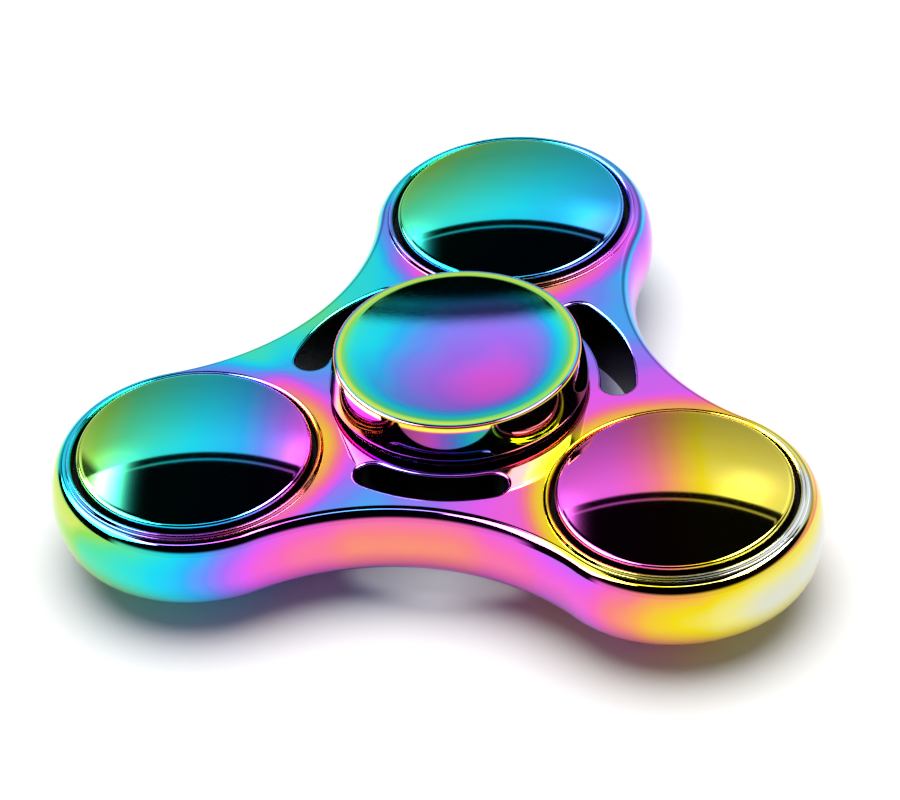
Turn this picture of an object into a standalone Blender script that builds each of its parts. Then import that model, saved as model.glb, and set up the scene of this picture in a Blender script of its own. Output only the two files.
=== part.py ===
"""Three-armed hand spinner: a coated zinc body turning on a 608 ball bearing between two finger caps.

The origin is the middle of the bearing, +Z is the spin axis, and one arm points along +Y.
Every length below is written in millimetres times MM, so the scene itself is in metres.
"""

import math

import bmesh
import bpy

MM = 0.001

# Ball bearing, size 608
BEARING_OUTSIDE = 22.0 * MM
BEARING_BORE = 8.0 * MM
BEARING_WIDTH = 7.0 * MM
BALL_COUNT = 7
BALL_DIAMETER = 3.969 * MM
RACE_DEPTH = 0.5 * MM  # how deep each raceway is cut below its shoulder
RACE_CONFORMITY = 1.06  # raceway radius over ball radius
SHIELD_THICKNESS = 0.3 * MM
SHIELD_INSET = 0.3 * MM  # from the bearing's face to the shield's, and from its eye to the inner ring
SHIELD_GRIP = 0.2 * MM  # how far the shield's rim stands into the outer ring
CAGE_WALL = 1.3 * MM
CAGE_SHIELD_GAP = 0.18 * MM
CAGE_PRONG_HEIGHT = 0.9 * MM  # how far the prongs reach past the balls' centres

# Domed caps in the arms
ARM_CAP_DIAMETER = 20.9 * MM
ARM_CAP_FOOT = 0.8 * MM  # thickness of the wide foot that fits the recess
ARM_CAP_RIM_RISE = 0.8 * MM  # from the body's top face to the dome's edge
ARM_CAP_CROWN = 0.9 * MM  # from the dome's edge to its middle
ARM_CAP_EDGE_ROUND = 0.4 * MM
GROOVE_WIDTH = 0.45 * MM  # the shadow line between the dome and the lip
RECESS_DEPTH = 1.6 * MM

# Body casting
ARM_COUNT = 3
BODY_THICKNESS = 7.0 * MM
SIDE_BULGE = 1.35 * MM  # how far the rounded side stands out past the top face's outline
LIP_WIDTH = 0.7 * MM  # the raised lip round each arm cap
LIP_HEIGHT = 0.35 * MM
SEAT_WALL = 1.5 * MM  # between the bearing seat and each slot
ARM_WALL = 2.85 * MM  # between the bearing seat and each arm's recess
SLOT_WIDTH = 3.1 * MM
SLOT_ARM_WALL = 3.75 * MM  # between a slot's end and the nearest arm's recess
SLOT_EDGE_ROUND = 0.3 * MM
WAIST_WALL = 1.1 * MM  # the top face left between a slot and the waist's edge

# Finger caps
SKIRT_COVER = 0.55 * MM  # how far the skirt reaches out past the bearing seat
SKIRT_TAPER = 0.55 * MM  # how much narrower the rim is than the skirt's lower edge
FINGER_CAP_SKIRT = 3.55 * MM  # from the skirt's lower edge to the rim
FINGER_CAP_LIFT = 0.7 * MM  # running gap between the skirt and the body's face
FINGER_CAP_WALL = 1.2 * MM
FINGER_CAP_LAND = 0.6 * MM  # flat ring round the dish, which the spinner stands on
FINGER_CAP_EDGE_ROUND = 0.3 * MM
DISH_DEPTH = 0.5 * MM
BOSS_INSET = 0.2 * MM  # how far the clamping boss stays inside the inner ring's outside
SPIGOT_GAP = 0.5 * MM  # between the two spigots' ends inside the bearing

# Stud that joins the two finger caps
STUD_DIAMETER = 4.0 * MM
STUD_CHAMFER = 0.4 * MM
STUD_COVER = 1.5 * MM  # metal left between the end of the stud's hole and the dish

# Fits
PRESS_FIT_GAP = 0.05 * MM  # drawn gap between pieces that are pressed or glued together
SEAT_GAP = 0.03 * MM  # drawn gap between faces that touch
BALL_CLEARANCE = 0.06 * MM
POCKET_CLEARANCE = 0.08 * MM
STUD_END_GAP = 0.15 * MM

# Facets
BEARING_STEPS = 40
CAP_STEPS = 40
ARM_CAP_STEPS = 36
BORE_STEPS = 40
CAGE_STEPS = 42
STUD_STEPS = 24
BALL_AROUND = 14
BALL_RINGS = 9
SIDE_STEPS = 8
ARC_STEP = math.radians(10.0)
OVERRUN = 1.0 * MM  # how far a cutter passes through the faces that it opens

# Sizes that follow from the ones above
BODY_TOP = BODY_THICKNESS / 2
BEARING_FACE = BEARING_WIDTH / 2
SEAT_RADIUS = BEARING_OUTSIDE / 2 + PRESS_FIT_GAP
BALL_RADIUS = BALL_DIAMETER / 2
PITCH_RADIUS = (BEARING_OUTSIDE + BEARING_BORE) / 4
INNER_RACE = PITCH_RADIUS - BALL_RADIUS - BALL_CLEARANCE
OUTER_RACE = PITCH_RADIUS + BALL_RADIUS + BALL_CLEARANCE
INNER_SHOULDER = INNER_RACE + RACE_DEPTH
OUTER_SHOULDER = OUTER_RACE - RACE_DEPTH
SHIELD_FACE = BEARING_FACE - SHIELD_INSET
SHIELD_BACK = SHIELD_FACE - SHIELD_THICKNESS
DOME_RADIUS = ARM_CAP_DIAMETER / 2
RECESS_RADIUS = DOME_RADIUS + GROOVE_WIDTH
RECESS_FLOOR = BODY_TOP - RECESS_DEPTH
ARM_EDGE_RADIUS = RECESS_RADIUS + LIP_WIDTH  # where the arm's top face ends
ARM_RADIUS = SEAT_RADIUS + ARM_WALL + RECESS_RADIUS  # from the spin axis to the middle of an arm
SLOT_MIDDLE_RADIUS = SEAT_RADIUS + SEAT_WALL + SLOT_WIDTH / 2
WAIST_EDGE_RADIUS = SEAT_RADIUS + SEAT_WALL + SLOT_WIDTH + WAIST_WALL
SKIRT_RADIUS = SEAT_RADIUS + SKIRT_COVER
RIM_RADIUS = SKIRT_RADIUS - SKIRT_TAPER
SKIRT_EDGE = BODY_TOP + FINGER_CAP_LIFT
RIM_HEIGHT = SKIRT_EDGE + FINGER_CAP_SKIRT
DISH_BOTTOM = RIM_HEIGHT - DISH_DEPTH
STUD_HOLE_END = DISH_BOTTOM - STUD_COVER


def waist_centre_radius():
    """Distance from the spin axis to the centre of a waist arc that runs tangent into both arms.

    The arc's radius is that distance less the waist's own, and the centres of two tangent arcs lie
    their radii apart, which leaves one linear equation for the distance.
    """
    half_pitch = math.pi / ARM_COUNT
    reach = WAIST_EDGE_RADIUS - ARM_EDGE_RADIUS
    return (ARM_RADIUS**2 - reach**2) / (2 * (ARM_RADIUS * math.cos(half_pitch) - reach))


def slot_half_angle():
    """Half the angle between the centres of a slot's round ends, which the wall to the recess sets."""
    reach = RECESS_RADIUS + SLOT_ARM_WALL + SLOT_WIDTH / 2
    cosine = (ARM_RADIUS**2 + SLOT_MIDDLE_RADIUS**2 - reach**2) / (2 * ARM_RADIUS * SLOT_MIDDLE_RADIUS)
    return math.pi / ARM_COUNT - math.acos(cosine)


def polar(radius, angle):
    return (radius * math.cos(angle), radius * math.sin(angle))


def arc(centre, radius, start, end, steps):
    """Points along an arc, both ends included."""
    angles = [start + (end - start) * i / steps for i in range(steps + 1)]
    return [(centre[0] + radius * math.cos(a), centre[1] + radius * math.sin(a)) for a in angles]


def arm_angle(index):
    """Arm 0 points along +Y, and the others follow anticlockwise."""
    return math.pi / 2 + index * 2 * math.pi / ARM_COUNT


def body_outline(offset):
    """The body's outline seen from above, moved outwards by offset.

    Each arm is a convex arc and each waist a concave one, tangent where they meet. The arm's points
    fall on whole steps from its own direction, so its widest points are always on the outline.
    """
    waist_radius = waist_centre_radius()
    points = []
    for index in range(ARM_COUNT):
        arm = arm_angle(index)
        centre = polar(ARM_RADIUS, arm)
        waist_angle = arm + math.pi / ARM_COUNT
        waist = polar(waist_radius, waist_angle)
        tangent = math.atan2(waist[1] - centre[1], waist[0] - centre[0])
        half = math.remainder(tangent - arm, 2 * math.pi)
        whole = int((half - ARC_STEP / 2) / ARC_STEP)
        for angle in [-half] + [i * ARC_STEP for i in range(-whole, whole + 1)] + [half]:
            x, y = polar(ARM_EDGE_RADIUS + offset, arm + angle)
            points.append((centre[0] + x, centre[1] + y))
        open_half = math.remainder(tangent + math.pi - waist_angle + math.pi, 2 * math.pi)
        radius = waist_radius - WAIST_EDGE_RADIUS - offset
        inwards = waist_angle + math.pi
        sweep = arc(waist, radius, inwards + open_half, inwards - open_half, 8)
        points += sweep[1:-1]
    return points


def slot_outline(offset, angle):
    """A curved slot with round ends about the direction angle, widened by offset on every side."""
    middle = SLOT_MIDDLE_RADIUS
    half_width = SLOT_WIDTH / 2 + offset
    low, high = angle - slot_half_angle(), angle + slot_half_angle()
    outer = arc((0, 0), middle + half_width, low, high, 8)
    far_end = arc(polar(middle, high), half_width, high, high + math.pi, 6)
    inner = arc((0, 0), middle - half_width, high, low, 8)
    near_end = arc(polar(middle, low), half_width, low + math.pi, low + 2 * math.pi, 6)
    return outer + far_end[1:-1] + inner + near_end[1:-1]


def clear_scene():
    for obj in list(bpy.data.objects):
        bpy.data.objects.remove(obj, do_unlink=True)


def finish_mesh(bm, name, smooth_angle=math.radians(35)):
    """Turns a bmesh into an object at the origin with its round faces shaded smooth."""
    bmesh.ops.recalc_face_normals(bm, faces=bm.faces)
    mesh = bpy.data.meshes.new(name)
    bm.to_mesh(mesh)
    bm.free()
    mesh.shade_smooth()
    mesh.set_sharp_from_angle(angle=smooth_angle)
    obj = bpy.data.objects.new(name, mesh)
    bpy.context.scene.collection.objects.link(obj)
    return obj


def turned(name, profile, steps):
    """A turned piece: a closed profile of (radius, height) points spun round +Z."""
    bm = bmesh.new()
    corners = [bm.verts.new((radius, 0, height)) for radius, height in profile]
    for first, second in zip(corners, corners[1:] + corners[:1]):
        if first.co.x > 0 or second.co.x > 0:
            bm.edges.new((first, second))
    bmesh.ops.spin(
        bm, geom=bm.verts[:] + bm.edges[:], cent=(0, 0, 0), axis=(0, 0, 1),
        angle=2 * math.pi, steps=steps, use_merge=True,
    )
    bmesh.ops.remove_doubles(bm, verts=bm.verts, dist=1e-7)
    return finish_mesh(bm, name)


def stacked(name, outline, levels):
    """A solid whose outline(offset) changes with height, from levels of (offset, height)."""
    bm = bmesh.new()
    loops = [[bm.verts.new((x, y, height)) for x, y in outline(offset)] for offset, height in levels]
    for lower, upper in zip(loops, loops[1:]):
        for i in range(len(lower)):
            bm.faces.new((lower[i - 1], lower[i], upper[i], upper[i - 1]))
    bm.faces.new(loops[0])
    bm.faces.new(loops[-1])
    return finish_mesh(bm, name)


def hide_helper(obj):
    obj.hide_render = True
    obj.display_type = "WIRE"


def combine(target, helper, operation):
    """Adds an exact Boolean of the helper, which the build then leaves out."""
    hide_helper(helper)
    modifier = target.modifiers.new(f"{operation.lower()}_{helper.name}", "BOOLEAN")
    modifier.object = helper
    modifier.operation = operation
    modifier.solver = "EXACT"


def material(name, colour, metallic, roughness):
    made = bpy.data.materials.new(name)
    made.use_nodes = True
    shader = made.node_tree.nodes["Principled BSDF"]
    shader.inputs["Base Color"].default_value = (*colour, 1)
    shader.inputs["Metallic"].default_value = metallic
    shader.inputs["Roughness"].default_value = roughness
    return made


def give(obj, made):
    obj.data.materials.append(made)


def side_levels():
    """The body's side from bottom to top: half an ellipse, tight at the faces and full in the middle."""
    angles = [math.pi * i / SIDE_STEPS for i in range(SIDE_STEPS + 1)]
    return [(SIDE_BULGE * math.sin(a), -BODY_TOP * math.cos(a)) for a in angles]


def lip_profile():
    """One arm's plateau, whose outer slope is the lip. The recess cut takes its middle out."""
    foot = ARM_EDGE_RADIUS + LIP_HEIGHT / 2
    crest = BODY_TOP + LIP_HEIGHT
    outer = [(foot, BODY_TOP - LIP_HEIGHT), (ARM_EDGE_RADIUS - LIP_WIDTH * 0.3, crest)]
    return [(0, crest), (0, RECESS_FLOOR - OVERRUN)] + [(foot, RECESS_FLOOR - OVERRUN)] + outer


def make_body():
    """The die-cast body: outline, lips, bearing bore, arm recesses and slots."""
    body = stacked("tri_arm_body", body_outline, side_levels())
    for face in (1, -1):
        for index in range(ARM_COUNT):
            x, y = polar(ARM_RADIUS, arm_angle(index))
            lip = turned(f"lip_plateau_{index}_{face}", lip_profile(), ARM_CAP_STEPS)
            place(lip, x, y, face)
            combine(body, lip, "UNION")
    for face in (1, -1):
        for index in range(ARM_COUNT):
            x, y = polar(ARM_RADIUS, arm_angle(index))
            top = BODY_TOP + LIP_HEIGHT + OVERRUN
            shape = [(0, RECESS_FLOOR), (RECESS_RADIUS, RECESS_FLOOR), (RECESS_RADIUS, top), (0, top)]
            recess = turned(f"recess_cutter_{index}_{face}", shape, ARM_CAP_STEPS)
            place(recess, x, y, face)
            combine(body, recess, "DIFFERENCE")
    end = BODY_TOP + OVERRUN
    shape = [(0, -end), (SEAT_RADIUS, -end), (SEAT_RADIUS, end), (0, end)]
    cutter = turned("bore_cutter", shape, BORE_STEPS)
    combine(body, cutter, "DIFFERENCE")
    for index in range(ARM_COUNT):
        angle = arm_angle(index) + math.pi / ARM_COUNT
        flare = SLOT_EDGE_ROUND
        levels = [(flare, -end), (flare, -BODY_TOP), (0, flare - BODY_TOP)]
        levels += [(offset, -height) for offset, height in reversed(levels)]
        slot = stacked(f"slot_cutter_{index}", lambda offset: slot_outline(offset, angle), levels)
        combine(body, slot, "DIFFERENCE")
    return body


def place(obj, x, y, face):
    """Moves a piece made for the upper side to (x, y), and turns it over for the lower side."""
    obj.location = (x, y, 0)
    if face < 0:
        obj.rotation_euler = (math.pi, 0, 0)


def arm_cap_profile():
    """A domed steel disc: a wide foot glued into the recess, a shadow groove, then the dome."""
    bottom = RECESS_FLOOR + SEAT_GAP
    foot = RECESS_RADIUS - PRESS_FIT_GAP
    edge = BODY_TOP + ARM_CAP_RIM_RISE
    shoulder = bottom + ARM_CAP_FOOT
    chord = DOME_RADIUS - ARM_CAP_EDGE_ROUND
    ball = (chord**2 + ARM_CAP_CROWN**2) / (2 * ARM_CAP_CROWN)
    half = math.asin(chord / ball)
    crown = arc((0, edge + ARM_CAP_CROWN - ball), ball, math.pi / 2 - half, math.pi / 2, 6)
    rim = arc((chord, edge - ARM_CAP_EDGE_ROUND), ARM_CAP_EDGE_ROUND, 0, math.pi / 2, 2)
    outside = [(foot, bottom), (foot, shoulder), (DOME_RADIUS, shoulder)] + rim + crown[1:-1]
    return [(0, bottom)] + outside + [(0, crown[-1][1])]


def make_arm_caps(finish):
    """Two domed caps for each arm, one in each face."""
    for index, arm in enumerate(("back", "left", "right")):
        x, y = polar(ARM_RADIUS, arm_angle(index))
        for face, side in ((1, "top"), (-1, "bottom")):
            cap = turned(f"arm_cap_{arm}_{side}", arm_cap_profile(), ARM_CAP_STEPS)
            place(cap, x, y, face)
            give(cap, finish)


def make_bearing(steel, shield_steel, nylon):
    """The 608 bearing: two rings, seven balls in a crown cage, and two shields."""
    race = BALL_RADIUS * RACE_CONFORMITY
    half = math.acos((race - RACE_DEPTH) / race)
    seat = OUTER_SHOULDER + SHIELD_GRIP + PRESS_FIT_GAP
    ledge = SHIELD_BACK - SEAT_GAP
    outside = BEARING_OUTSIDE / 2
    track = arc((OUTER_RACE - race, 0), race, -half, half, 6)
    lower = [(seat, -BEARING_FACE), (seat, -ledge), (OUTER_SHOULDER, -ledge)]
    upper = [(OUTER_SHOULDER, ledge), (seat, ledge), (seat, BEARING_FACE)]
    profile = [(outside, BEARING_FACE), (outside, -BEARING_FACE)] + lower + track + upper
    give(turned("bearing_outer_ring", profile, BEARING_STEPS), steel)

    track = arc((INNER_RACE + race, 0), race, math.pi - half, math.pi + half, 6)
    bore = BEARING_BORE / 2
    faces = [(bore, -BEARING_FACE), (bore, BEARING_FACE)]
    profile = faces + [(INNER_SHOULDER, BEARING_FACE)] + track + [(INNER_SHOULDER, -BEARING_FACE)]
    give(turned("bearing_inner_ring", profile, BEARING_STEPS), steel)

    rim = OUTER_SHOULDER + SHIELD_GRIP
    eye = INNER_SHOULDER + SHIELD_INSET
    for face, side in ((1, "top"), (-1, "bottom")):
        shape = [(eye, SHIELD_BACK), (rim, SHIELD_BACK), (rim, SHIELD_FACE), (eye, SHIELD_FACE)]
        shield = turned(f"bearing_shield_{side}", shape, BEARING_STEPS)
        place(shield, 0, 0, face)
        give(shield, shield_steel)

    give(make_cage(), nylon)
    for index in range(BALL_COUNT):
        ball = sphere(f"bearing_ball_{index + 1}", BALL_RADIUS)
        ball.location = (*polar(PITCH_RADIUS, ball_angle(index)), 0)
        give(ball, steel)


def ball_angle(index):
    return math.pi / 2 + index * 2 * math.pi / BALL_COUNT


def sphere(name, radius):
    bm = bmesh.new()
    bmesh.ops.create_uvsphere(bm, u_segments=BALL_AROUND, v_segments=BALL_RINGS, radius=radius)
    return finish_mesh(bm, name, smooth_angle=math.pi)


def make_cage():
    """A crown cage: one ring under the balls, with prongs standing up between them."""
    pocket = BALL_RADIUS + POCKET_CLEARANCE
    low, high = CAGE_SHIELD_GAP - SHIELD_BACK, CAGE_PRONG_HEIGHT
    inner, outer = PITCH_RADIUS - CAGE_WALL / 2, PITCH_RADIUS + CAGE_WALL / 2
    shape = [(inner, low), (outer, low), (outer, high), (inner, high)]
    cage = turned("bearing_cage", shape, CAGE_STEPS)
    for index in range(BALL_COUNT):
        cutter = sphere(f"pocket_cutter_{index + 1}", pocket)
        cutter.location = (*polar(PITCH_RADIUS, ball_angle(index)), 0)
        combine(cage, cutter, "DIFFERENCE")
    return cage


def finger_cap_profile():
    """A dished finger cap from the middle of its dish outwards, then back in along its underside."""
    round_edge = FINGER_CAP_EDGE_ROUND
    dish = RIM_RADIUS - round_edge - FINGER_CAP_LAND
    ball = (dish**2 + DISH_DEPTH**2) / (2 * DISH_DEPTH)
    half = math.asin(dish / ball)
    hollow = arc((0, DISH_BOTTOM + ball), ball, -math.pi / 2, half - math.pi / 2, 6)
    top = [(0, hollow[0][1])] + hollow[1:]
    top += arc((RIM_RADIUS - round_edge, RIM_HEIGHT - round_edge), round_edge, math.pi / 2, 0, 2)
    skirt = arc((SKIRT_RADIUS - round_edge, SKIRT_EDGE + round_edge), round_edge, 0, -math.pi / 2, 2)
    wall = SKIRT_RADIUS - FINGER_CAP_WALL
    roof = DISH_BOTTOM - FINGER_CAP_WALL
    boss, face = INNER_SHOULDER - BOSS_INSET, BEARING_FACE + SEAT_GAP
    spigot = BEARING_BORE / 2 - PRESS_FIT_GAP
    under = [(wall, SKIRT_EDGE), (wall, roof), (boss, roof), (boss, face), (spigot, face)]
    hole = STUD_DIAMETER / 2 + PRESS_FIT_GAP
    under += [(spigot, SPIGOT_GAP / 2), (hole, SPIGOT_GAP / 2), (hole, STUD_HOLE_END), (0, STUD_HOLE_END)]
    return top + skirt + under


def make_finger_caps(finish, stud_steel):
    """The two finger caps, clamped on the bearing's inner ring by the stud between them."""
    for face, side in ((1, "top"), (-1, "bottom")):
        cap = turned(f"finger_cap_{side}", finger_cap_profile(), CAP_STEPS)
        place(cap, 0, 0, face)
        give(cap, finish)
    radius, half = STUD_DIAMETER / 2, STUD_HOLE_END - STUD_END_GAP
    end = radius - STUD_CHAMFER
    shape = [(0, -half), (end, -half), (radius, STUD_CHAMFER - half)]
    shape += [(radius, half - STUD_CHAMFER), (end, half), (0, half)]
    give(turned("centre_stud", shape, STUD_STEPS), stud_steel)


def main():
    clear_scene()
    rainbow_body = material("coated_zinc_body", (0.62, 0.32, 0.86), 1.0, 0.12)
    rainbow_arm_caps = material("coated_arm_caps", (0.10, 0.66, 0.80), 1.0, 0.08)
    rainbow_finger_caps = material("coated_finger_caps", (0.35, 0.45, 0.90), 1.0, 0.08)
    bearing_steel = material("bearing_steel", (0.72, 0.72, 0.74), 1.0, 0.18)
    shield_steel = material("pressed_shield_steel", (0.62, 0.63, 0.65), 1.0, 0.30)
    nylon = material("cage_nylon", (0.80, 0.77, 0.68), 0.0, 0.50)
    stud_steel = material("stud_steel", (0.50, 0.50, 0.52), 1.0, 0.35)
    give(make_body(), rainbow_body)
    make_arm_caps(rainbow_arm_caps)
    make_bearing(bearing_steel, shield_steel, nylon)
    make_finger_caps(rainbow_finger_caps, stud_steel)


main()
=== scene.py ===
"""Looks of a three-armed hand spinner: mirror-polished metal under a rainbow coating."""

import math

import bpy
import numpy as np
from mathutils import Matrix, Vector
from mathutils.geometry import tessellate_polygon


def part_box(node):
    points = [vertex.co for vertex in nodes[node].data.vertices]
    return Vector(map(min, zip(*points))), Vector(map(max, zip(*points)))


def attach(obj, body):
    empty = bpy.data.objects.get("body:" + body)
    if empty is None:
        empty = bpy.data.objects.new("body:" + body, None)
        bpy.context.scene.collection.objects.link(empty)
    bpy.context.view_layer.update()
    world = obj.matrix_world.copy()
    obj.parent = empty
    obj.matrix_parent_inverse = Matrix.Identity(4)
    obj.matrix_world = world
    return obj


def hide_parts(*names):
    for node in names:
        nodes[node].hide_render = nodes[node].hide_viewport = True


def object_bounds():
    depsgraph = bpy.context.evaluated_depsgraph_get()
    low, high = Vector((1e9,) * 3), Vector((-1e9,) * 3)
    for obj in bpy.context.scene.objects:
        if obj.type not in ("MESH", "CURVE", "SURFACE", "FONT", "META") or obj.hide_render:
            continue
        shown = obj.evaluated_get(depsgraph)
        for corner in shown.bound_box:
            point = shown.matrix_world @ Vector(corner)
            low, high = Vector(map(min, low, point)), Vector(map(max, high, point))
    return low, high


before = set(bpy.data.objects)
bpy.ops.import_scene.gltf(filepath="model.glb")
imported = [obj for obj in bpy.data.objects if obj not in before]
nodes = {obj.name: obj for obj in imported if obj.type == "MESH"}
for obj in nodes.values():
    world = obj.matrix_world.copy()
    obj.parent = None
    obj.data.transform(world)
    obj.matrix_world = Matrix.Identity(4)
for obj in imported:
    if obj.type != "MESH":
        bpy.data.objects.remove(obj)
cad_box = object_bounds()

# ---------------------------------------------------------------------------------------------
# Body: one zinc casting, three round arms about a bearing seat, with a curved slot in each waist.
# It is tumbled and polished to a mirror, then coated in vacuum, which leaves the rainbow colours.
# ---------------------------------------------------------------------------------------------

MM = 0.001
ARM_NAMES = ("back", "left", "right")

body_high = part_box("tri_arm_body")[1]
hub_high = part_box("bearing_outer_ring")[1]
arm_boxes = [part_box(f"arm_cap_{arm}_top") for arm in ARM_NAMES]
arm_centres = [np.array(((low + high) / 2)[:2]) for low, high in arm_boxes]
arm_radius = float(np.linalg.norm(arm_centres[0]))

LIP_HEIGHT = 0.35 * MM
LIP_FOOT = 0.12 * MM  # flat left between the lip and the start of the rounded side
LIP_CREST = 0.5  # where the lip is highest, as a share of its width from its foot
SIDE_BULGE = 1.35 * MM
FLANGE = 0.04 * MM  # narrow flat band that holds the top face's shading level
RECESS_DEPTH = 1.6 * MM
SEAT_WALL = 1.5 * MM
SLOT_WIDTH = 3.1 * MM
SLOT_ARM_WALL = 3.75 * MM
SLOT_ROUND = 0.3 * MM
WAIST_WALL = 1.1 * MM
SEAT_CLEARANCE = 0.05 * MM
BORE_ROUND = 0.15 * MM

body_top = body_high.z - LIP_HEIGHT
arm_edge = (body_high.y - arm_radius) - SIDE_BULGE
recess_radius = (arm_boxes[0][1].x - arm_boxes[0][0].x) / 2 + SEAT_CLEARANCE
seat_radius = hub_high.x + SEAT_CLEARANCE
slot_middle = seat_radius + SEAT_WALL + SLOT_WIDTH / 2
waist_edge = seat_radius + SEAT_WALL + SLOT_WIDTH + WAIST_WALL
waist_centre = (arm_radius**2 - (waist_edge - arm_edge) ** 2) / (
    2 * (arm_radius * math.cos(math.pi / 3) - (waist_edge - arm_edge))
)
slot_rim = slot_middle + SLOT_WIDTH / 2 + SLOT_ROUND
slot_reach = recess_radius + SLOT_ARM_WALL + SLOT_WIDTH / 2
slot_half_angle = math.pi / 3 - math.acos(
    (arm_radius**2 + slot_middle**2 - slot_reach**2) / (2 * arm_radius * slot_middle)
)


def ring(centre, radius, angles):
    """Points at the given angles on a circle: centre plus radius times the cosine and sine."""
    return np.asarray(centre) + radius * np.stack([np.cos(angles), np.sin(angles)], axis=-1)


def body_outline(offset, arm_points=96, waist_points=40):
    """The body's plan outline moved outwards by offset.

    Each arm is an arc about its own centre and each waist an arc about a point outside the body.
    Two such arcs are tangent where the line between their centres crosses them.
    """
    pieces = []
    for centre in arm_centres:
        towards = math.atan2(centre[1], centre[0])
        waist = ring((0, 0), waist_centre, towards + math.pi / 3)
        gap = waist - centre
        half = math.remainder(math.atan2(gap[1], gap[0]) - towards, 2 * math.pi)
        pieces.append(ring(centre, arm_edge + offset, towards + np.linspace(-half, half, arm_points)))
        inwards = towards + math.pi / 3 + math.pi
        opening = math.remainder(math.atan2(-gap[1], -gap[0]) - inwards, 2 * math.pi)
        angles = inwards + np.linspace(opening, -opening, waist_points + 2)[1:-1]
        pieces.append(ring(waist, waist_centre - waist_edge - offset, angles))
    return np.concatenate(pieces)


def slot_outline(offset, angle, side_points=32, end_points=20):
    """A curved slot about the direction angle: two arcs about the spin axis joined by round ends."""
    low, high = angle - slot_half_angle, angle + slot_half_angle
    half_width = SLOT_WIDTH / 2 + offset
    sweep = np.linspace(low, high, side_points)
    turn = np.linspace(0, math.pi, end_points)[1:-1]
    outer = ring((0, 0), slot_middle + half_width, sweep)
    far_end = ring(ring((0, 0), slot_middle, high), half_width, high + turn)
    inner = ring((0, 0), slot_middle - half_width, sweep[::-1])
    near_end = ring(ring((0, 0), slot_middle, low), half_width, low + math.pi + turn)
    return np.concatenate([outer, far_end, inner, near_end])


def level(outline, height):
    """A plan outline lifted to one height."""
    return np.column_stack([outline, np.full(len(outline), height)])


def strip(rows):
    """Quads between successive closed rows of points, as (points, faces) arrays.

    Row i and row i + 1 share columns j and j + 1, and the last column meets the first.
    """
    rows = np.asarray(rows)
    count, width = rows.shape[:2]
    corner = np.arange(count * width).reshape(count, width)
    across = np.roll(corner, -1, axis=1)
    quads = np.stack([corner[:-1], across[:-1], across[1:], corner[1:]], axis=-1)
    return rows.reshape(-1, 3), quads.reshape(-1, 4)


def edge_round(radius, steps):
    """A quarter round over a hole's edge, as pairs of (offset from the wall, drop below the face).

    The offset is radius (1 - sin a) and the drop radius (1 - cos a), with a from 0 to 90 degrees.
    """
    angles = np.linspace(0, math.pi / 2, steps)
    return zip(radius * (1 - np.sin(angles)), radius * (1 - np.cos(angles)))


def through_hole(outline, radius, steps):
    """A hole from face to face, with both edges rounded: its rows from the upper face to the lower."""
    rows = [level(outline(radius + FLANGE), body_top)]
    rows += [level(outline(offset), body_top - drop) for offset, drop in edge_round(radius, steps)]
    return rows + [row * (1, 1, -1) for row in rows[::-1]]


def weld(parts):
    """Joins (points, faces) parts into one, where points at the same place become one point."""
    starts = np.cumsum([0] + [len(points) for points, _ in parts[:-1]])
    points = np.concatenate([points for points, _ in parts])
    _, first, index = np.unique(np.round(points, 8), axis=0, return_index=True, return_inverse=True)
    index = index.reshape(-1)
    faces = []
    for start, (_, part_faces) in zip(starts, parts):
        faces += index[start + part_faces].tolist()
    return points[first], faces


def flipped(part):
    """The same part turned over: mirrored in height, with its faces turned round."""
    points, faces = part
    return points * (1, 1, -1), faces[:, ::-1]


def disc(row, upwards=True):
    """One flat face that closes a row of points."""
    order = np.arange(len(row))[None, :]
    return row, order if upwards else order[:, ::-1]


def add_piece(name, parts, body, material, sharp=math.radians(40)):
    """Makes one smooth-shaded piece from welded parts, and lets it ride on a body."""
    points, faces = weld(parts)
    mesh = bpy.data.meshes.new(name)
    mesh.from_pydata(points.tolist(), [], faces)
    mesh.shade_smooth()
    mesh.set_sharp_from_angle(angle=sharp)
    mesh.materials.append(material)
    piece = bpy.data.objects.new(name, mesh)
    bpy.context.scene.collection.objects.link(piece)
    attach(piece, body)
    return piece


def side_rows():
    """The rounded side from its lower flange to its upper one: half an ellipse, bulge by half height."""
    angles = np.linspace(0, math.pi, 49)
    rows = [level(body_outline(-FLANGE), -body_top)]
    rows += [level(body_outline(SIDE_BULGE * math.sin(a)), -body_top * math.cos(a)) for a in angles]
    return rows + [level(body_outline(-FLANGE), body_top)]


def lip_rows(centre, around):
    """From the flat face over one arm's raised lip, down the recess wall and in over its floor.

    Outside its crest the lip is a raised cosine, so it leaves the flat face without a corner, and
    inside it is a quarter round that ends on the recess wall.
    """
    foot = arm_edge - LIP_FOOT
    crest = foot + (recess_radius - foot) * LIP_CREST
    inner = crest - recess_radius
    rise = np.linspace(0, math.pi, 17)
    fall = np.linspace(0, math.pi / 2, 9)[1:]
    radii = [foot + FLANGE, *(foot + (crest - foot) * rise / math.pi), *(crest - inner * np.sin(fall))]
    heights = [0, *(LIP_HEIGHT * (1 - np.cos(rise)) / 2), *(LIP_HEIGHT - inner * (1 - np.cos(fall)))]
    radii += [recess_radius, recess_radius * 0.98, recess_radius * 0.3]
    heights += [-RECESS_DEPTH, -RECESS_DEPTH, -RECESS_DEPTH]
    return [level(ring(centre, r, around), body_top + h) for r, h in zip(radii, heights)]


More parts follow.
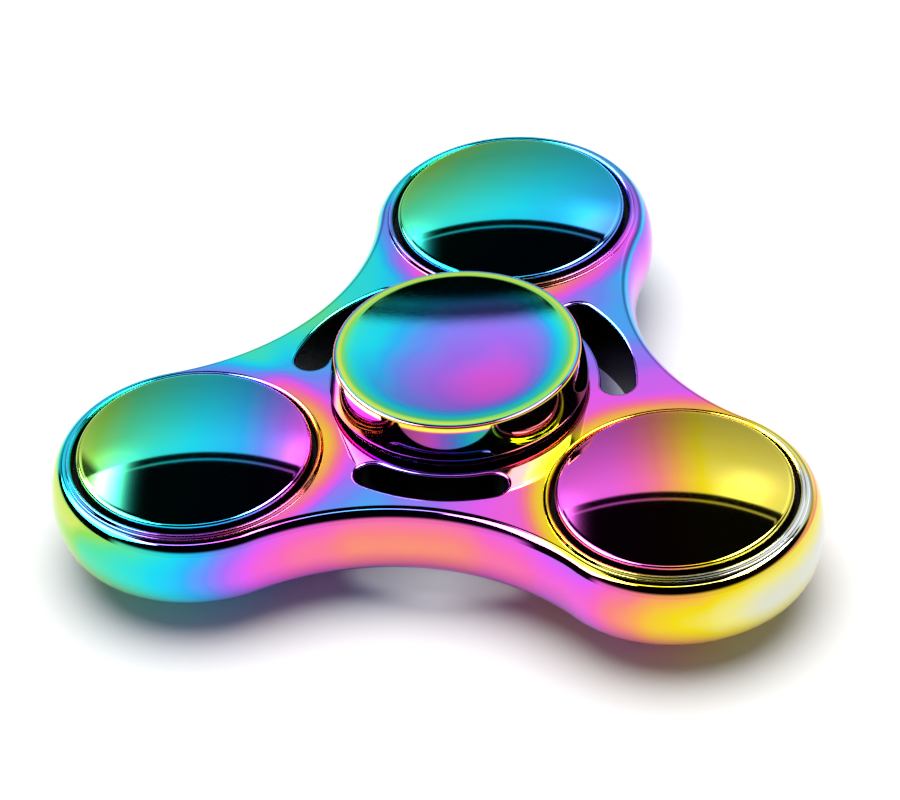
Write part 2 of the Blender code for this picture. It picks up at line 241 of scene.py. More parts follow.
def body_parts():
    """Every surface of the casting: side, lips and recesses, bearing seat, slots, and the flat faces."""
    around = np.linspace(0, 2 * math.pi, 145)[:-1]
    parts = [strip(side_rows())]
    seat = through_hole(lambda offset: ring((0, 0), seat_radius + offset, around), BORE_ROUND, 7)
    parts.append(strip(seat))
    holes = [seat[0]]
    for centre in arm_centres:
        rows = lip_rows(centre, around)
        for part in (strip(rows), disc(rows[-1])):
            parts += [part, flipped(part)]
        holes.append(rows[0])
        angle = math.atan2(centre[1], centre[0]) + math.pi / 3
        slot = through_hole(lambda offset: slot_outline(offset, angle), SLOT_ROUND, 9)
        parts.append(strip(slot))
        holes.append(slot[0])
    loops = [level(body_outline(-FLANGE), body_top)] + holes
    triangles = np.array(tessellate_polygon([[Vector(point / MM) for point in loop] for loop in loops]))
    corners = np.concatenate(loops)
    a, b, c = (corners[triangles[:, k]] for k in range(3))
    down = np.cross(b - a, c - a)[:, 2] < 0
    triangles[down] = triangles[down][:, ::-1]
    face = (corners, triangles)
    return parts + [face, flipped(face)]


class Number:
    """A value inside a material. Each operator adds the Math node that works it out."""

    def __init__(self, paint, socket):
        self.paint, self.socket = paint, socket

    def __add__(self, other):
        return self.paint.maths("ADD", self, other)

    def __sub__(self, other):
        return self.paint.maths("SUBTRACT", self, other)

    def __rsub__(self, other):
        return self.paint.maths("SUBTRACT", other, self)

    def __mul__(self, other):
        return self.paint.maths("MULTIPLY", self, other)

    def __truediv__(self, other):
        return self.paint.maths("DIVIDE", self, other)

    def __rtruediv__(self, other):
        return self.paint.maths("DIVIDE", other, self)

    def __pow__(self, other):
        return self.paint.maths("POWER", self, other)

    def __neg__(self):
        return self.paint.maths("MULTIPLY", self, -1.0)

    __radd__ = __add__
    __rmul__ = __mul__

    def clear_of(self, low, high):
        """0 below low, 1 above high, and a smooth step between them."""
        settings = {"interpolation_type": "SMOOTHSTEP"}
        sockets = {0: self, 1: low, 2: high, 3: 0.0, 4: 1.0}
        return self.paint.node("ShaderNodeMapRange", settings, sockets)


class Paint:
    """The node tree of one material or of the surroundings."""

    def __init__(self, owner):
        owner.use_nodes = True
        self.owner, self.tree = owner, owner.node_tree
        self.tree.nodes.clear()

    def add(self, kind, settings=None, sockets=None):
        """Adds a node, with its settings first, and returns it."""
        made = self.tree.nodes.new(kind)
        for name, value in (settings or {}).items():
            if name == "stops":
                stops = made.color_ramp.elements
                while len(stops) < len(value):
                    stops.new(1.0)
                for stop, (place, colour) in zip(stops, value):
                    stop.position, stop.color = place, (*colour, 1)
            elif name == "blend_along":
                made.color_ramp.interpolation = value
            else:
                setattr(made, name, value)
        for name, value in (sockets or {}).items():
            socket = made.inputs[name]
            value = value.socket if isinstance(value, Number) else value
            if isinstance(value, bpy.types.NodeSocket):
                self.tree.links.new(value, socket)
            else:
                socket.default_value = value
        return made

    def node(self, kind, settings=None, sockets=None, output=0):
        """Adds a node and returns one of its outputs for arithmetic."""
        return Number(self, self.add(kind, settings, sockets).outputs[output])

    def maths(self, operation, *values):
        return self.node("ShaderNodeMath", {"operation": operation}, dict(enumerate(values)))

    def vector(self, operation, *values):
        sockets = dict(enumerate(values))
        made = self.add("ShaderNodeVectorMath", {"operation": operation}, sockets)
        gives_number = operation in ("DOT_PRODUCT", "LENGTH", "DISTANCE")
        return Number(self, made.outputs["Value" if gives_number else 0])

    def mixed(self, share, first, second):
        """The first colour at share 0 and the second at share 1."""
        sockets = {0: share, 6: first, 7: second}
        return self.node("ShaderNodeMix", {"data_type": "RGBA", "clamp_factor": True}, sockets, output=2)

    def ramp(self, value, stops, blend_along="LINEAR"):
        return self.node("ShaderNodeValToRGB", {"blend_along": blend_along, "stops": stops}, {0: value})


def hexed(code):
    """A colour written as six hex digits, as light in proportion: the display curve is undone."""
    display = np.array([int(code[k : k + 2], 16) / 255 for k in (0, 2, 4)])
    light = np.where(display <= 0.04045, display / 12.92, ((display + 0.055) / 1.055) ** 2.4)
    return tuple(light.tolist())


FILM = [
    (0.00, hexed("d2ea66")), (0.05, hexed("90e05a")), (0.10, hexed("58e4a0")), (0.17, hexed("34e4d2")),
    (0.24, hexed("18dcf2")), (0.33, hexed("2cb8fc")), (0.41, hexed("6c90fc")), (0.50, hexed("a870fa")),
    (0.58, hexed("ea5ef2")), (0.66, hexed("f868be")), (0.74, hexed("f88484")), (0.81, hexed("f8ae50")),
    (0.88, hexed("f2dc10")), (0.94, hexed("f0e880")), (1.00, hexed("d6dcdc")),
]  # the colours that the coat passes through as it thickens
RIPPLE = 0.0014 * MM  # height of the fine ripple that polishing leaves
# near-black colour that stands in for painted shade
PAINTED_SHADE_COLOUR = (0.012, 0.010, 0.014, 1)


def coated_metal(name, film, roughness=0.04, painted_shade_mask=None, ripple=None):
    """A rainbow coat over polished metal.

    film gives the coat's place along the run of colours from the node tree and the object position
    in millimetres. Faint cloudiness in the polish varies the roughness, and the coat with it. The
    fourth argument gives the share painted near-black as painted shade, rougher where it is full.
    ripple gives where the polish has left a fine ripple, a micrometre high, that softens reflections.
    """
    material = bpy.data.materials.new(name)
    paint = Paint(material)
    place = paint.vector("MULTIPLY", paint.node("ShaderNodeTexCoord", output="Object"), (1 / MM,) * 3)
    clouds = paint.node("ShaderNodeTexNoise", None, {"Vector": place, "Scale": 0.35, "Detail": 4.0})
    scuffs = paint.node("ShaderNodeTexNoise", None, {"Vector": place, "Scale": 2.6, "Detail": 6.0})
    colour = paint.ramp(film(paint, place) + (clouds - 0.5) * 0.03, FILM)
    rough = roughness * (0.8 + clouds * 0.3) + scuffs.clear_of(0.55, 0.85) * 0.02
    # painted shade: the mask mixes the coat towards near-black, and makes it rougher where it is full
    if painted_shade_mask is not None:
        share = painted_shade_mask(paint, place)
        colour = paint.mixed(share, colour, PAINTED_SHADE_COLOUR)
        rough = rough + share.clear_of(0.88, 1.0) * 0.3
    inputs = {"Base Color": colour, "Metallic": 1.0, "Roughness": rough}
    if ripple is not None:
        waves = paint.node("ShaderNodeTexNoise", None, {"Vector": place, "Scale": 12.0, "Detail": 1.0})
        heights = waves * ripple(paint, place)
        inputs["Normal"] = paint.node("ShaderNodeBump", None, {"Height": heights, "Distance": RIPPLE})
    shader = paint.add("ShaderNodeBsdfPrincipled", None, inputs)
    paint.add("ShaderNodeOutputMaterial", None, {"Surface": shader.outputs[0]})
    return material


COAT_SPOTS = [
    # x, y, height above or below the middle (mm), the coat's place along the run of colours there
    (-15.5, 7.0, 3.5, 0.08), (-15.0, 4.0, 3.5, 0.20), (-14.0, 1.0, 3.5, 0.36), (-13.5, -2.0, 3.5, 0.47),
    (-12.5, -5.0, 3.5, 0.57), (-11.5, -9.0, 3.5, 0.62), (-10.5, -13.5, 3.5, 0.58), (-9.5, -16.5, 3.5, 0.50),
    (-8.5, -18.5, 3.5, 0.38), (-5.0, -17.8, 3.5, 0.35), (-0.5, -17.0, 3.5, 0.46), (3.5, -16.5, 3.5, 0.54),
    (6.5, -17.5, 3.5, 0.62), (9.5, -18.5, 3.5, 0.62), (13.0, -21.5, 3.5, 0.66), (9.5, -14.0, 3.5, 0.63),
    (11.5, -9.0, 3.5, 0.65), (14.5, -3.0, 3.5, 0.60), (16.5, 2.5, 3.5, 0.56), (15.5, 6.0, 3.5, 0.48),
    (14.5, 10.0, 3.5, 0.36), (17.0, 11.0, 3.5, 0.28), (12.0, 17.5, 3.5, 0.32), (9.0, 16.5, 3.5, 0.44),
    (5.0, 14.5, 3.5, 0.54), (0.0, 13.5, 3.5, 0.58), (-5.5, 14.5, 3.5, 0.46), (-8.5, 15.0, 3.5, 0.30),
    (-11.5, 14.0, 3.5, 0.18), (-11.5, 19.0, 3.5, 0.16), (-10.0, 31.0, 3.5, 0.00), (-3.0, 36.0, 3.5, 0.02),
    (7.0, 34.0, 3.5, 0.12), (12.0, 27.0, 3.5, 0.26), (11.0, 21.0, 3.5, 0.34), (-20.0, 2.5, 3.5, 0.13),
    (-20.5, -1.0, 3.5, 0.18), (-30.0, -4.0, 3.5, 0.02), (-33.5, -14.0, 3.5, 0.02), (-27.0, -23.0, 3.5, 0.14),
    (-20.0, -24.0, 3.5, 0.30), (-15.0, -21.0, 3.5, 0.44), (20.5, 1.0, 3.5, 0.56), (24.5, -1.0, 3.5, 0.60),
    (30.0, -4.0, 3.5, 0.70), (33.0, -12.0, 3.5, 0.76), (27.0, -23.5, 3.5, 0.74), (20.0, -24.5, 3.5, 0.68),
    (-34.0, -12.0, 0.0, 0.00), (-32.0, -20.0, 0.0, 0.03), (-28.0, -23.5, 0.0, 0.12), (-25.0, -25.0, 0.0, 0.18),
    (-21.5, -25.5, 0.0, 0.26), (-18.5, -25.0, 0.0, 0.38), (-15.5, -24.0, 0.0, 0.55), (-13.0, -22.8, 0.0, 0.65),
    (-10.0, -21.0, 0.0, 0.71), (-4.5, -19.0, 0.0, 0.76), (1.5, -19.0, 0.0, 0.76), (8.0, -20.5, 0.0, 0.69),
    (11.5, -22.0, 0.0, 0.62), (15.0, -23.5, 0.0, 0.61), (18.5, -25.0, 0.0, 0.76), (22.0, -25.5, 0.0, 0.87),
    (25.0, -25.0, 0.0, 0.89), (28.0, -23.5, 0.0, 0.95), (31.0, -21.5, 0.0, 0.99), (34.5, -13.0, 0.0, 1.00),
    (33.5, -6.0, 0.0, 0.92), (29.5, -1.5, 0.0, 0.76), (23.5, 1.5, 0.0, 0.62), (17.5, 7.5, 0.0, 0.55),
    (14.5, 12.0, 0.0, 0.56), (13.0, 20.0, 0.0, 0.60), (12.8, 27.0, 0.0, 0.58), (9.0, 34.5, 0.0, 0.42),
    (0.0, 37.7, 0.0, 0.27), (-9.0, 34.5, 0.0, 0.16), (-12.5, 27.0, 0.0, 0.08), (-13.0, 19.0, 0.0, 0.04),
    (-13.5, 12.0, 0.0, 0.03), (-17.5, 7.0, 0.0, 0.02), (-24.0, 1.5, 0.0, 0.04), (-31.0, -2.5, 0.0, 0.02),
]
SPOT_REACH = 3.6  # mm
SIDE_PAINTED_SHADE = 0.13  # painted shade on the rounded side: how far its colour is darkened
LIP_SHIFT = 0.24  # how much further along the run of colours the coat is on the lips


def body_film(paint, place):
    """Average of the spots' values, weighted by (1 + (distance / reach)^2)^-3, plus the lips' shift."""
    split = paint.add("ShaderNodeSeparateXYZ", None, {0: place})
    x, y, z = (Number(paint, output) for output in split.outputs)
    tall = paint.maths("ABSOLUTE", z)
    face = tall.clear_of(2.5, 3.4)
    here = paint.node("ShaderNodeCombineXYZ", None, {0: x, 1: y, 2: face * 14.0})
    total, share = 0.0, 0.0
    for spot_x, spot_y, spot_z, value in COAT_SPOTS:
        gap = paint.vector("DISTANCE", here, (spot_x, spot_y, spot_z * 4.0)) / SPOT_REACH
        weight = (gap * gap + 1) ** -3.0
        total = weight * value + total
        share = weight + share
    film = total / share - tall * tall * 0.012 * (1 - face)
    flat = paint.node("ShaderNodeCombineXYZ", None, {0: x, 1: y, 2: 0.0})
    for centre in arm_centres:
        away = paint.vector("DISTANCE", flat, (centre[0] / MM, centre[1] / MM, 0.0))
        film = film + (1 - away.clear_of(11.5, 14.2)) * tall.clear_of(3.0, 3.5) * LIP_SHIFT
    return film


def body_painted_shade(paint, place):
    """Painted shade: 1 on the slot walls and deep in the arm recesses, a little on the rounded side, and 0
    elsewhere.
    """
    split = paint.add("ShaderNodeSeparateXYZ", None, {0: place})
    x, y, z = (Number(paint, output) for output in split.outputs)
    here = paint.node("ShaderNodeCombineXYZ", None, {0: x, 1: y, 2: 0.0})
    away = paint.vector("LENGTH", here)
    # painted shade down the walls of the slots
    band = away.clear_of(11.2, 11.3) * (1 - away.clear_of(slot_rim / MM, slot_rim / MM + 0.1))
    tall = paint.maths("ABSOLUTE", z)
    face = body_top / MM
    dark = band * (1 - tall.clear_of(face - SLOT_ROUND / MM, face))
    # painted shade on the rounded side
    dark = dark + (1 - tall.clear_of(3.0, 3.4)) * SIDE_PAINTED_SHADE
    # painted shade deep in each arm's recess
    for centre in arm_centres:
        away = paint.vector("DISTANCE", here, (centre[0] / MM, centre[1] / MM, 0.0))
        inside = 1 - away.clear_of(recess_radius / MM + 0.02, recess_radius / MM + 0.08)
        dark = dark + inside * (1 - tall.clear_of(face - 1.2, face - 0.9))
    return dark


body_metal = coated_metal("rainbow_body", body_film, 0.04, body_painted_shade)
body = add_piece("casting", body_parts(), "rotor", body_metal)
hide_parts("tri_arm_body")

# ---------------------------------------------------------------------------------------------
# Arm caps: six domed steel discs, one glued into the recess in each face of each arm.
# They are turned and polished, and wear the same coating as the body.
# ---------------------------------------------------------------------------------------------

DOME_RADIUS = 10.45 * MM
CROWN = 0.9 * MM
DOME_EDGE_ROUND = 0.4 * MM
CAP_FOOT = 0.8 * MM


def turned_rows(centre, radii, heights, around=160):
    """Rows of a turned piece: one ring about the centre for each radius and height."""
    angles = np.linspace(0, 2 * math.pi, around + 1)[:-1]
    return [level(ring(centre, r, angles), h) for r, h in zip(radii, heights)]


def arc_profile(centre, radius, start, end, steps):
    """Radii and heights along an arc: centre plus radius times the cosine and sine."""
    angles = np.radians(np.linspace(start, end, steps))
    return centre[0] + radius * np.cos(angles), centre[1] + radius * np.sin(angles)


def turned_part(centre, pieces, around=160):
    """A closed turned piece: profile pieces run from the bottom middle out, up and back to the top."""
    radii = np.concatenate([np.atleast_1d(r) for r, _ in pieces])
    heights = np.concatenate([np.atleast_1d(h) for _, h in pieces])
    rows = turned_rows(centre, radii, heights, around)
    return [strip(rows), disc(rows[0], upwards=False), disc(rows[-1])]


def arm_cap_profile(low, high):
    """Foot, shoulder in the groove, rounded edge, then a spherical dome up to its crown."""
    foot = recess_radius - SEAT_CLEARANCE
    edge = high - CROWN
    chord = DOME_RADIUS - DOME_EDGE_ROUND
    ball = (chord**2 + CROWN**2) / (2 * CROWN)
    half = math.degrees(math.asin(chord / ball))
    near_axis = math.degrees(0.02 * MM / ball)
    return [
        (foot * 0.3, low), (foot * 0.99, low), (foot, low), (foot, low + CAP_FOOT),
        (DOME_RADIUS, low + CAP_FOOT),
        arc_profile((chord, edge - DOME_EDGE_ROUND), DOME_EDGE_ROUND, 0, 90 - half, 12),
        arc_profile((0, high - ball), ball, 90 - half, 90 - near_axis, 48),
    ]


# The coat on each dome: its place along the run of colours at the crown, its change per millimetre
# along ASIDE and along AWAY, then a further rise along ASIDE and where that starts and ends (mm).
CAP_FILMS = {
    "back": (0.22, 0.012, -0.012, 0.0, 0.0, 1.0),
    "left": (0.235, 0.021, -0.005, 0.13, 3.5, 10.0),
    "right": (0.62, 0.002, 0.0, 0.27, -6.0, 4.0),
}
ASIDE = (0.9704, 0.2417, 0.0)  # level, 14 degrees from +X towards +Y
AWAY = (-0.2417, 0.9704, 0.0)  # level, at right angles to ASIDE


def cap_film(arm, centre):
    """The film of one arm cap: a slope across the dome with a steeper stretch in it."""
    value, slope_aside, slope_away, rise, start, end = CAP_FILMS[arm]

    def film(paint, place):
        local = paint.vector("SUBTRACT", place, (centre[0] / MM, centre[1] / MM, 0.0))
        aside = paint.vector("DOT_PRODUCT", local, ASIDE)
        away = paint.vector("DOT_PRODUCT", local, AWAY)
        return aside * slope_aside + away * slope_away + aside.clear_of(start, end) * rise + value

    return film


def groove_painted_shade(paint, place):
    """Painted shade: 1 on a cap's foot, down in its groove, and 0 on the dome."""
    split = paint.add("ShaderNodeSeparateXYZ", None, {0: place})
    tall = paint.maths("ABSOLUTE", split.outputs[2])
    edge = (arm_boxes[0][1].z - CROWN) / MM
    return 1 - tall.clear_of(edge - 0.8, edge - 0.65)


for arm, centre, (low, high) in zip(ARM_NAMES, arm_centres, arm_boxes):
    finish = coated_metal(f"rainbow_cap_{arm}", cap_film(arm, centre), 0.035, groove_painted_shade)
    parts = turned_part(centre, arm_cap_profile(low.z, high.z))
    for side in ("top", "bottom"):
        shown = parts if side == "top" else [flipped(part) for part in parts]
        cap = add_piece(f"domed_cap_{arm}_{side}", shown, "rotor", finish)
        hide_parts(f"arm_cap_{arm}_{side}")

# ---------------------------------------------------------------------------------------------
# Finger caps: two dished steel buttons that clamp the bearing's inner ring and stay still in the
# fingers. They are turned hollow, polished and coated as the body is, and screwed onto the stud.
# ---------------------------------------------------------------------------------------------

cap_low, cap_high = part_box("finger_cap_top")
SKIRT_TAPER = 0.55 * MM
SKIRT_HEIGHT = 3.55 * MM
DISH_DEPTH = 0.5 * MM
LAND = 0.6 * MM
CAP_EDGE_ROUND = 0.3 * MM
CAP_WALL = 1.2 * MM
SPIGOT_RADIUS = 4.0 * MM - SEAT_CLEARANCE
BOSS_RADIUS = 5.0 * MM
STUD_HOLE_RADIUS = 2.05 * MM
STUD_COVER = 1.5 * MM  # metal left between the end of the stud's hole and the dish
BOSS_GAP = 0.03 * MM
inner_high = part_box("bearing_inner_ring")[1]


def finger_cap_profile():
    """Spigot and boss inside, underside, skirt, rounded rim, flat land, then the dish to its middle."""
    skirt = cap_high.x
    rim = skirt - SKIRT_TAPER
    top = cap_high.z
    foot = top - SKIRT_HEIGHT
    dish = rim - CAP_EDGE_ROUND - LAND
    ball = (dish**2 + DISH_DEPTH**2) / (2 * DISH_DEPTH)
    half = math.degrees(math.asin(dish / ball))
    near_axis = math.degrees(0.02 * MM / ball)
    roof = top - DISH_DEPTH - CAP_WALL
    face = inner_high.z + BOSS_GAP
    hole = STUD_HOLE_RADIUS
    hole_end = top - DISH_DEPTH - STUD_COVER
    lean = math.degrees(math.atan2(SKIRT_TAPER, SKIRT_HEIGHT - 2 * CAP_EDGE_ROUND))
    return [
        (0.02 * MM, hole_end), (hole * 0.98, hole_end), (hole, hole_end - 0.02 * MM), (hole, cap_low.z),
        (SPIGOT_RADIUS, cap_low.z), (SPIGOT_RADIUS, face), (BOSS_RADIUS, face), (BOSS_RADIUS, roof),
        (skirt - CAP_WALL, roof), (skirt - CAP_WALL, foot),
        arc_profile((skirt - CAP_EDGE_ROUND, foot + CAP_EDGE_ROUND), CAP_EDGE_ROUND, -90, lean, 12),
        arc_profile((rim - CAP_EDGE_ROUND, top - CAP_EDGE_ROUND), CAP_EDGE_ROUND, lean, 90, 12),
        (dish + 0.04 * MM, top),
        arc_profile((0, top - DISH_DEPTH + ball), ball, half - 90, near_axis - 90, 56),
    ]


SKIRT_FILM = 0.64  # the coat's place on the skirt at its left, from where it falls to 0
DISH_FILM = [  # the coat's place from the dish's middle out to its edge
    (0.00, (0.48,) * 3), (0.40, (0.45,) * 3), (0.60, (0.40,) * 3), (0.80, (0.31,) * 3),
    (0.90, (0.22,) * 3), (0.95, (0.14,) * 3), (1.00, (0.05,) * 3),
]


def finger_film(paint, place):
    """Violet mid-dish, then blue, turquoise and yellow rings; violet to green across the skirt."""
    split = paint.add("ShaderNodeSeparateXYZ", None, {0: place})
    x, y, z = (Number(paint, output) for output in split.outputs)
    away = paint.vector("LENGTH", paint.node("ShaderNodeCombineXYZ", None, {0: x, 1: y, 2: 0.0}))
    rings = paint.ramp(away / 10.2, DISH_FILM)
    lean = x * 0.015 * (1 - away.clear_of(7.0, 10.0))
    lean = lean - paint.maths("MINIMUM", y, 0.0) * 0.018 * (1 - away.clear_of(8.0, 10.4))
    spot = paint.vector("DISTANCE", place, (5.5, -5.0, 7.4)) / 4.2
    lobe = paint.maths("EXPONENT", -(spot * spot)) * 0.06
    rim = away.clear_of(10.15, 10.5) * -0.05 + away.clear_of(10.6, 11.1) * 0.93
    skirt = 1 - paint.maths("ABSOLUTE", z).clear_of(7.0, 7.3)
    return (rings + lean + lobe + rim) * (1 - skirt) + skirt * (1 - x.clear_of(-1.8, 7.2)) * SKIRT_FILM


def skirt_painted_shade(paint, place):
    """Painted shade on the cap's steep side, darkest at its left: 0.85 there, falling to 0.55 from the middle
    rightwards, and none on top.
    """
    split = paint.add("ShaderNodeSeparateXYZ", None, {0: place})
    x, y, z = (Number(paint, output) for output in split.outputs)
    skirt = 1 - paint.maths("ABSOLUTE", z).clear_of(7.0, 7.3)
    return skirt * (0.85 - x.clear_of(-5.0, 0.0) * 0.30)


def dish_ripple(paint, place):
    """1 in the dish and 0 on its rim and skirt."""
    split = paint.add("ShaderNodeSeparateXYZ", None, {0: place})
    x, y, z = (Number(paint, output) for output in split.outputs)
    away = paint.vector("LENGTH", paint.node("ShaderNodeCombineXYZ", None, {0: x, 1: y, 2: 0.0}))
    return (1 - away.clear_of(9.6, 10.2)) * paint.maths("ABSOLUTE", z).clear_of(6.9, 7.1)


finger_metal = coated_metal("rainbow_finger_cap", finger_film, 0.045, skirt_painted_shade, dish_ripple)
finger_parts = turned_part((0, 0), finger_cap_profile(), 192)
for side in ("top", "bottom"):
    shown = finger_parts if side == "top" else [flipped(part) for part in finger_parts]
    cap = add_piece(f"dished_cap_{side}", shown, "spindle", finger_metal)
    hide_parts(f"finger_cap_{side}")

# ---------------------------------------------------------------------------------------------
# Bearing rings and balls: hardened bearing steel, ground bright, the outer ring pressed into the
# body and the inner one clamped between the finger caps. Grinding leaves fine lines round each ring.
# ---------------------------------------------------------------------------------------------


def ground_steel(name, colour, roughness, lines):
    """Bare steel with fine turning or grinding lines: noise that varies with radius and height only."""
    material = bpy.data.materials.new(name)
    paint = Paint(material)
    place = paint.vector("MULTIPLY", paint.node("ShaderNodeTexCoord", output="Object"), (1 / MM,) * 3)
    split = paint.add("ShaderNodeSeparateXYZ", None, {0: place})
    x, y, z = (Number(paint, output) for output in split.outputs)
    away = paint.vector("LENGTH", paint.node("ShaderNodeCombineXYZ", None, {0: x, 1: y, 2: 0.0}))
    groove = paint.node("ShaderNodeCombineXYZ", None, {0: away * lines, 1: z * lines, 2: 0.0})
    fine = paint.node("ShaderNodeTexNoise", None, {"Vector": groove, "Scale": 1.0, "Detail": 3.0})
    clouds = paint.node("ShaderNodeTexNoise", None, {"Vector": place, "Scale": 0.5, "Detail": 3.0})
    worn = tuple(0.82 * part for part in colour)
    shown = paint.mixed(clouds.clear_of(0.35, 0.75), (*colour, 1), (*worn, 1))
    bump = paint.node("ShaderNodeBump", None, {"Height": fine, "Strength": 0.15, "Distance": 0.01 * MM})
    inputs = {
        "Base Color": shown, "Metallic": 1.0, "Roughness": roughness + fine * 0.08, "Normal": bump,
    }
    shader = paint.add("ShaderNodeBsdfPrincipled", None, inputs)
    paint.add("ShaderNodeOutputMaterial", None, {"Surface": shader.outputs[0]})
    return material


def finish_nodes(names, material):
    """Gives CAD nodes that stay as they are a finer material."""
    for name in names:
        mesh = nodes[name].data
        mesh.materials.clear()
        mesh.materials.append(material)


ring_steel = ground_steel("ground_bearing_steel", (0.72, 0.72, 0.74), 0.14, 12.0)
ball_steel = ground_steel("lapped_ball_steel", (0.76, 0.76, 0.78), 0.05, 3.0)
finish_nodes(("bearing_outer_ring", "bearing_inner_ring"), ring_steel)
finish_nodes([f"bearing_ball_{number}" for number in range(1, 8)], ball_steel)

# ---------------------------------------------------------------------------------------------
# Bearing shields: thin pressed steel washers, snapped into the outer ring over the balls.
# Pressing leaves them duller than the rings.
# ---------------------------------------------------------------------------------------------

shield_steel = ground_steel("pressed_shield_steel", (0.62, 0.63, 0.65), 0.28, 5.0)
finish_nodes(("bearing_shield_top", "bearing_shield_bottom"), shield_steel)

# ---------------------------------------------------------------------------------------------
# Bearing cage: a moulded nylon ring that spaces the balls and goes round with them.
# Natural nylon is cream and slightly cloudy, with a faintly uneven skin from the mould.
# ---------------------------------------------------------------------------------------------

nylon = bpy.data.materials.new("moulded_nylon")
paint = Paint(nylon)
place = paint.vector("MULTIPLY", paint.node("ShaderNodeTexCoord", output="Object"), (1 / MM,) * 3)
clouds = paint.node("ShaderNodeTexNoise", None, {"Vector": place, "Scale": 0.8, "Detail": 4.0})
grain = paint.node("ShaderNodeTexNoise", None, {"Vector": place, "Scale": 9.0, "Detail": 2.0})
cream = paint.mixed(clouds.clear_of(0.3, 0.7), (0.62, 0.56, 0.44, 1), (0.72, 0.68, 0.56, 1))
skin = paint.node("ShaderNodeBump", None, {"Height": grain, "Strength": 0.2, "Distance": 0.02 * MM})
inputs = {"Base Color": cream, "Roughness": 0.42 + grain * 0.15, "Normal": skin}
shader = paint.add("ShaderNodeBsdfPrincipled", None, inputs)
paint.add("ShaderNodeOutputMaterial", None, {"Surface": shader.outputs[0]})
finish_nodes(("bearing_cage",), nylon)

# ---------------------------------------------------------------------------------------------
# Centre stud: a turned steel stud, screwed into both finger caps to hold them together.
# Its thread is hidden inside them, so it is drawn as a plain cylinder.
# ---------------------------------------------------------------------------------------------

stud_steel = ground_steel("turned_stud_steel", (0.50, 0.50, 0.52), 0.32, 7.0)
finish_nodes(("centre_stud",), stud_steel)

# ---------------------------------------------------------------------------------------------
# Floor: a plain pale sheet that the lower finger cap stands on. It only stages the object.
# ---------------------------------------------------------------------------------------------

FLOOR_REACH = 6.0
FLOOR_GAP = 0.01 * MM
floor_mesh = bpy.data.meshes.new("floor")
floor_corners = [(-1, -1), (1, -1), (1, 1), (-1, 1)]
floor_height = cad_box[0].z - FLOOR_GAP
floor_points = [(FLOOR_REACH * x, FLOOR_REACH * y, floor_height) for x, y in floor_corners]
floor_mesh.from_pydata(floor_points, [], [(0, 1, 2, 3)])
floor = bpy.data.objects.new("floor", floor_mesh)
bpy.context.scene.collection.objects.link(floor)
white = bpy.data.materials.new("white_floor")
paint = Paint(white)
shader = paint.add("ShaderNodeBsdfDiffuse", None, {"Color": (0.8, 0.8, 0.8, 1)})
paint.add("ShaderNodeOutputMaterial", None, {"Surface": shader.outputs[0]})
floor_mesh.materials.append(white)

# ---------------------------------------------------------------------------------------------
# Light: a studio of pale walls, a thin lamp tube and softboxes, which only the metal's reflections
# see, with an even pale surround for everything else and one broad soft lamp overhead.
# ---------------------------------------------------------------------------------------------

BOX_LIGHT = 14.0
TUBE_LIGHT = 0.38
NEAR_WALL_LIGHT = 1.05
PLAIN_LIGHT = 0.20
BACKDROP_LIGHT = 1.1  # what the camera sees past the floor
SUN_LIGHT = 4.0
world = bpy.data.worlds.new("studio")
bpy.context.scene.world = world
air = Paint(world)
way = air.node("ShaderNodeTexCoord", output="Generated")
split = air.add("ShaderNodeSeparateXYZ", None, {0: way})
height = Number(air, split.outputs[2])
aside = air.vector("DOT_PRODUCT", way, ASIDE)
ahead = air.vector("DOT_PRODUCT", way, AWAY)
bearing = air.maths("ARCTAN2", aside, ahead)
wall_top = aside * 0.10 + 0.690
WALL_LIGHT = [
    (0.00, (1.05,) * 3), (0.14, (0.70,) * 3), (0.25, (0.38,) * 3), (0.375, (0.42,) * 3),
    (0.454, (0.53,) * 3), (0.53, (0.68,) * 3), (0.60, (0.87,) * 3), (0.65, (1.0,) * 3),
]
left_glow = (bearing + 0.30) / 0.07
right_glow = (bearing - 0.26) / 0.07
glow = air.maths("EXPONENT", -(left_glow * left_glow))
glow = glow + air.maths("EXPONENT", -(right_glow * right_glow))
glow = glow * height.clear_of(0.56, 0.67) * 0.9 + 0.95
wall_side = bearing.clear_of(-0.80, -0.62) * (1 - bearing.clear_of(0.95, 1.15))
lit_wall = wall_side * (1 - height.clear_of(wall_top - 0.004, wall_top + 0.004))
dim_panel = bearing.clear_of(-0.60, -0.56) * (1 - bearing.clear_of(-0.365, -0.33))
dim_panel = dim_panel * height.clear_of(0.42, 0.50)
gap_end = wall_top + 0.021
tube = wall_side * height.clear_of(gap_end, gap_end + 0.002)
tube = tube * (1 - height.clear_of(gap_end + 0.007, gap_end + 0.009))
to_left = bearing.clear_of(-2.1, -1.9) * (1 - bearing.clear_of(-0.80, -0.62))
near_wall = (1 - wall_side) * (1 - to_left) * (1 - height.clear_of(0.12, 0.32))
across = aside / air.maths("MAXIMUM", height, 0.02)
depth = ahead / air.maths("MAXIMUM", height, 0.02)


def panel(low_across, high_across, low_depth, high_depth):
    """A flat light overhead: 1 inside its edges, given as distances for one unit of height."""
    wide = across.clear_of(low_across - 0.02, low_across + 0.02)
    wide = wide * (1 - across.clear_of(high_across - 0.02, high_across + 0.02))
    deep = depth.clear_of(low_depth - 0.02, low_depth + 0.02)
    return wide * deep * (1 - depth.clear_of(high_depth - 0.02, high_depth + 0.02))


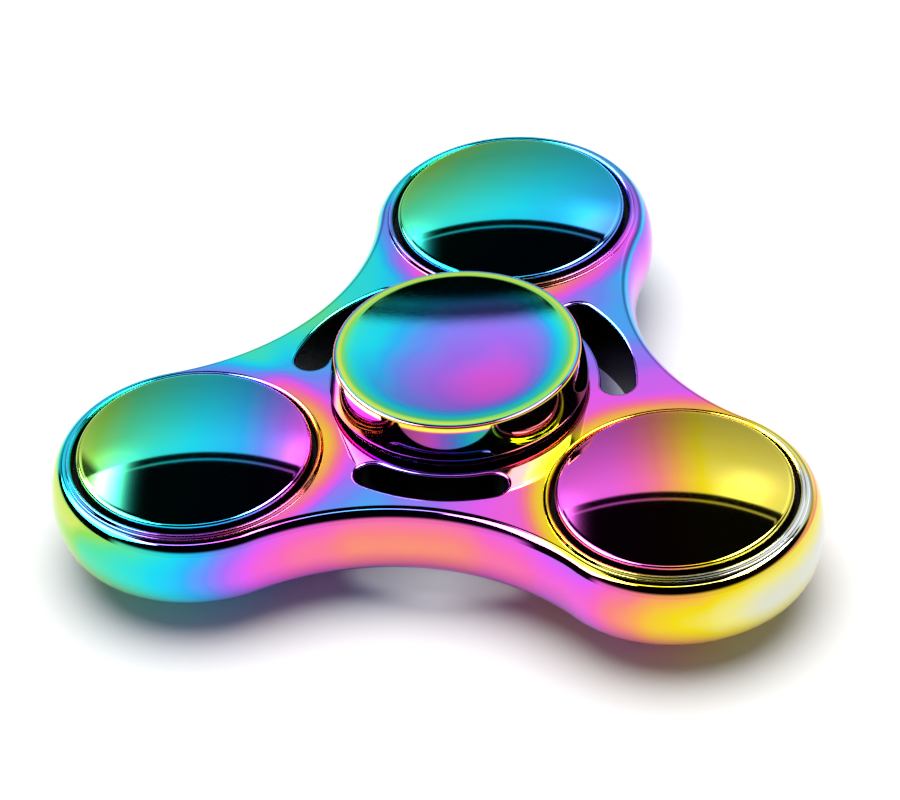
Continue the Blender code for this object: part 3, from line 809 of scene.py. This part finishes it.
boxes = panel(-1.85, -0.52, -0.60, 1.60) + panel(0.37, 0.80, -0.45, 0.55)
boxes = boxes + panel(-0.52, 0.37, -0.42, -0.30) * 0.3
curtain = (across + 0.355) / 0.05
boxes = boxes + air.maths("EXPONENT", -(curtain * curtain)) * panel(-1.0, 0.0, 0.35, 1.15) * 0.5
boxes = boxes * (1 - lit_wall) * air.maths("GREATER_THAN", height, 0.35)
wall_glow = air.ramp(height, WALL_LIGHT) * glow * (1 - dim_panel * 0.92)
seen = lit_wall * wall_glow + tube * TUBE_LIGHT + near_wall * NEAR_WALL_LIGHT + boxes * BOX_LIGHT + 0.002
path = air.add("ShaderNodeLightPath")
glossy = Number(air, path.outputs["Is Glossy Ray"])
bounced = Number(air, path.outputs["Diffuse Depth"])
studio = glossy * (1 - bounced.clear_of(0.4, 0.6))
direct = Number(air, path.outputs["Is Camera Ray"])
strength = studio * seen + (1 - studio) * PLAIN_LIGHT + direct * (BACKDROP_LIGHT - PLAIN_LIGHT)
background = air.add("ShaderNodeBackground", None, {"Color": (1, 1, 1, 1), "Strength": strength})
air.add("ShaderNodeOutputWorld", None, {"Surface": background.outputs[0]})

sun_data = bpy.data.lights.new("overhead", "SUN")
sun_data.energy = SUN_LIGHT
sun_data.angle = math.radians(62)
sun = bpy.data.objects.new("overhead", sun_data)
sun.visible_glossy = False
lean = math.radians(4)  # the light comes from a little behind the object
sun_way = -math.sin(lean) * Vector(AWAY) - math.cos(lean) * Vector((0, 0, 1))
sun.rotation_euler = sun_way.to_track_quat("-Z", "Y").to_euler()
bpy.context.scene.collection.objects.link(sun)

bpy.context.scene.view_settings.view_transform = "Standard"

# ---------------------------------------------------------------------------------------------
# Camera: a long lens a little above and in front, looking down at the object.
# ---------------------------------------------------------------------------------------------

camera_data = bpy.data.cameras.new("camera")
camera = bpy.data.objects.new("camera", camera_data)
bpy.context.scene.collection.objects.link(camera)
camera_data.lens = 228.9
camera_data.sensor_width = 36.0
camera_data.clip_start, camera_data.clip_end = 0.01, 50
looking = Vector((-0.18604, 0.74696, -0.63831)).normalized()
upwards = Vector((-0.07791, 0.63639, 0.76742))
side = looking.cross(upwards).normalized()
upwards = side.cross(looking)
turn = Matrix((side, upwards, -looking)).transposed().to_4x4()
camera.matrix_world = Matrix.Translation((0.094104, -0.381861, 0.327895)) @ turn
bpy.context.scene.camera = camera
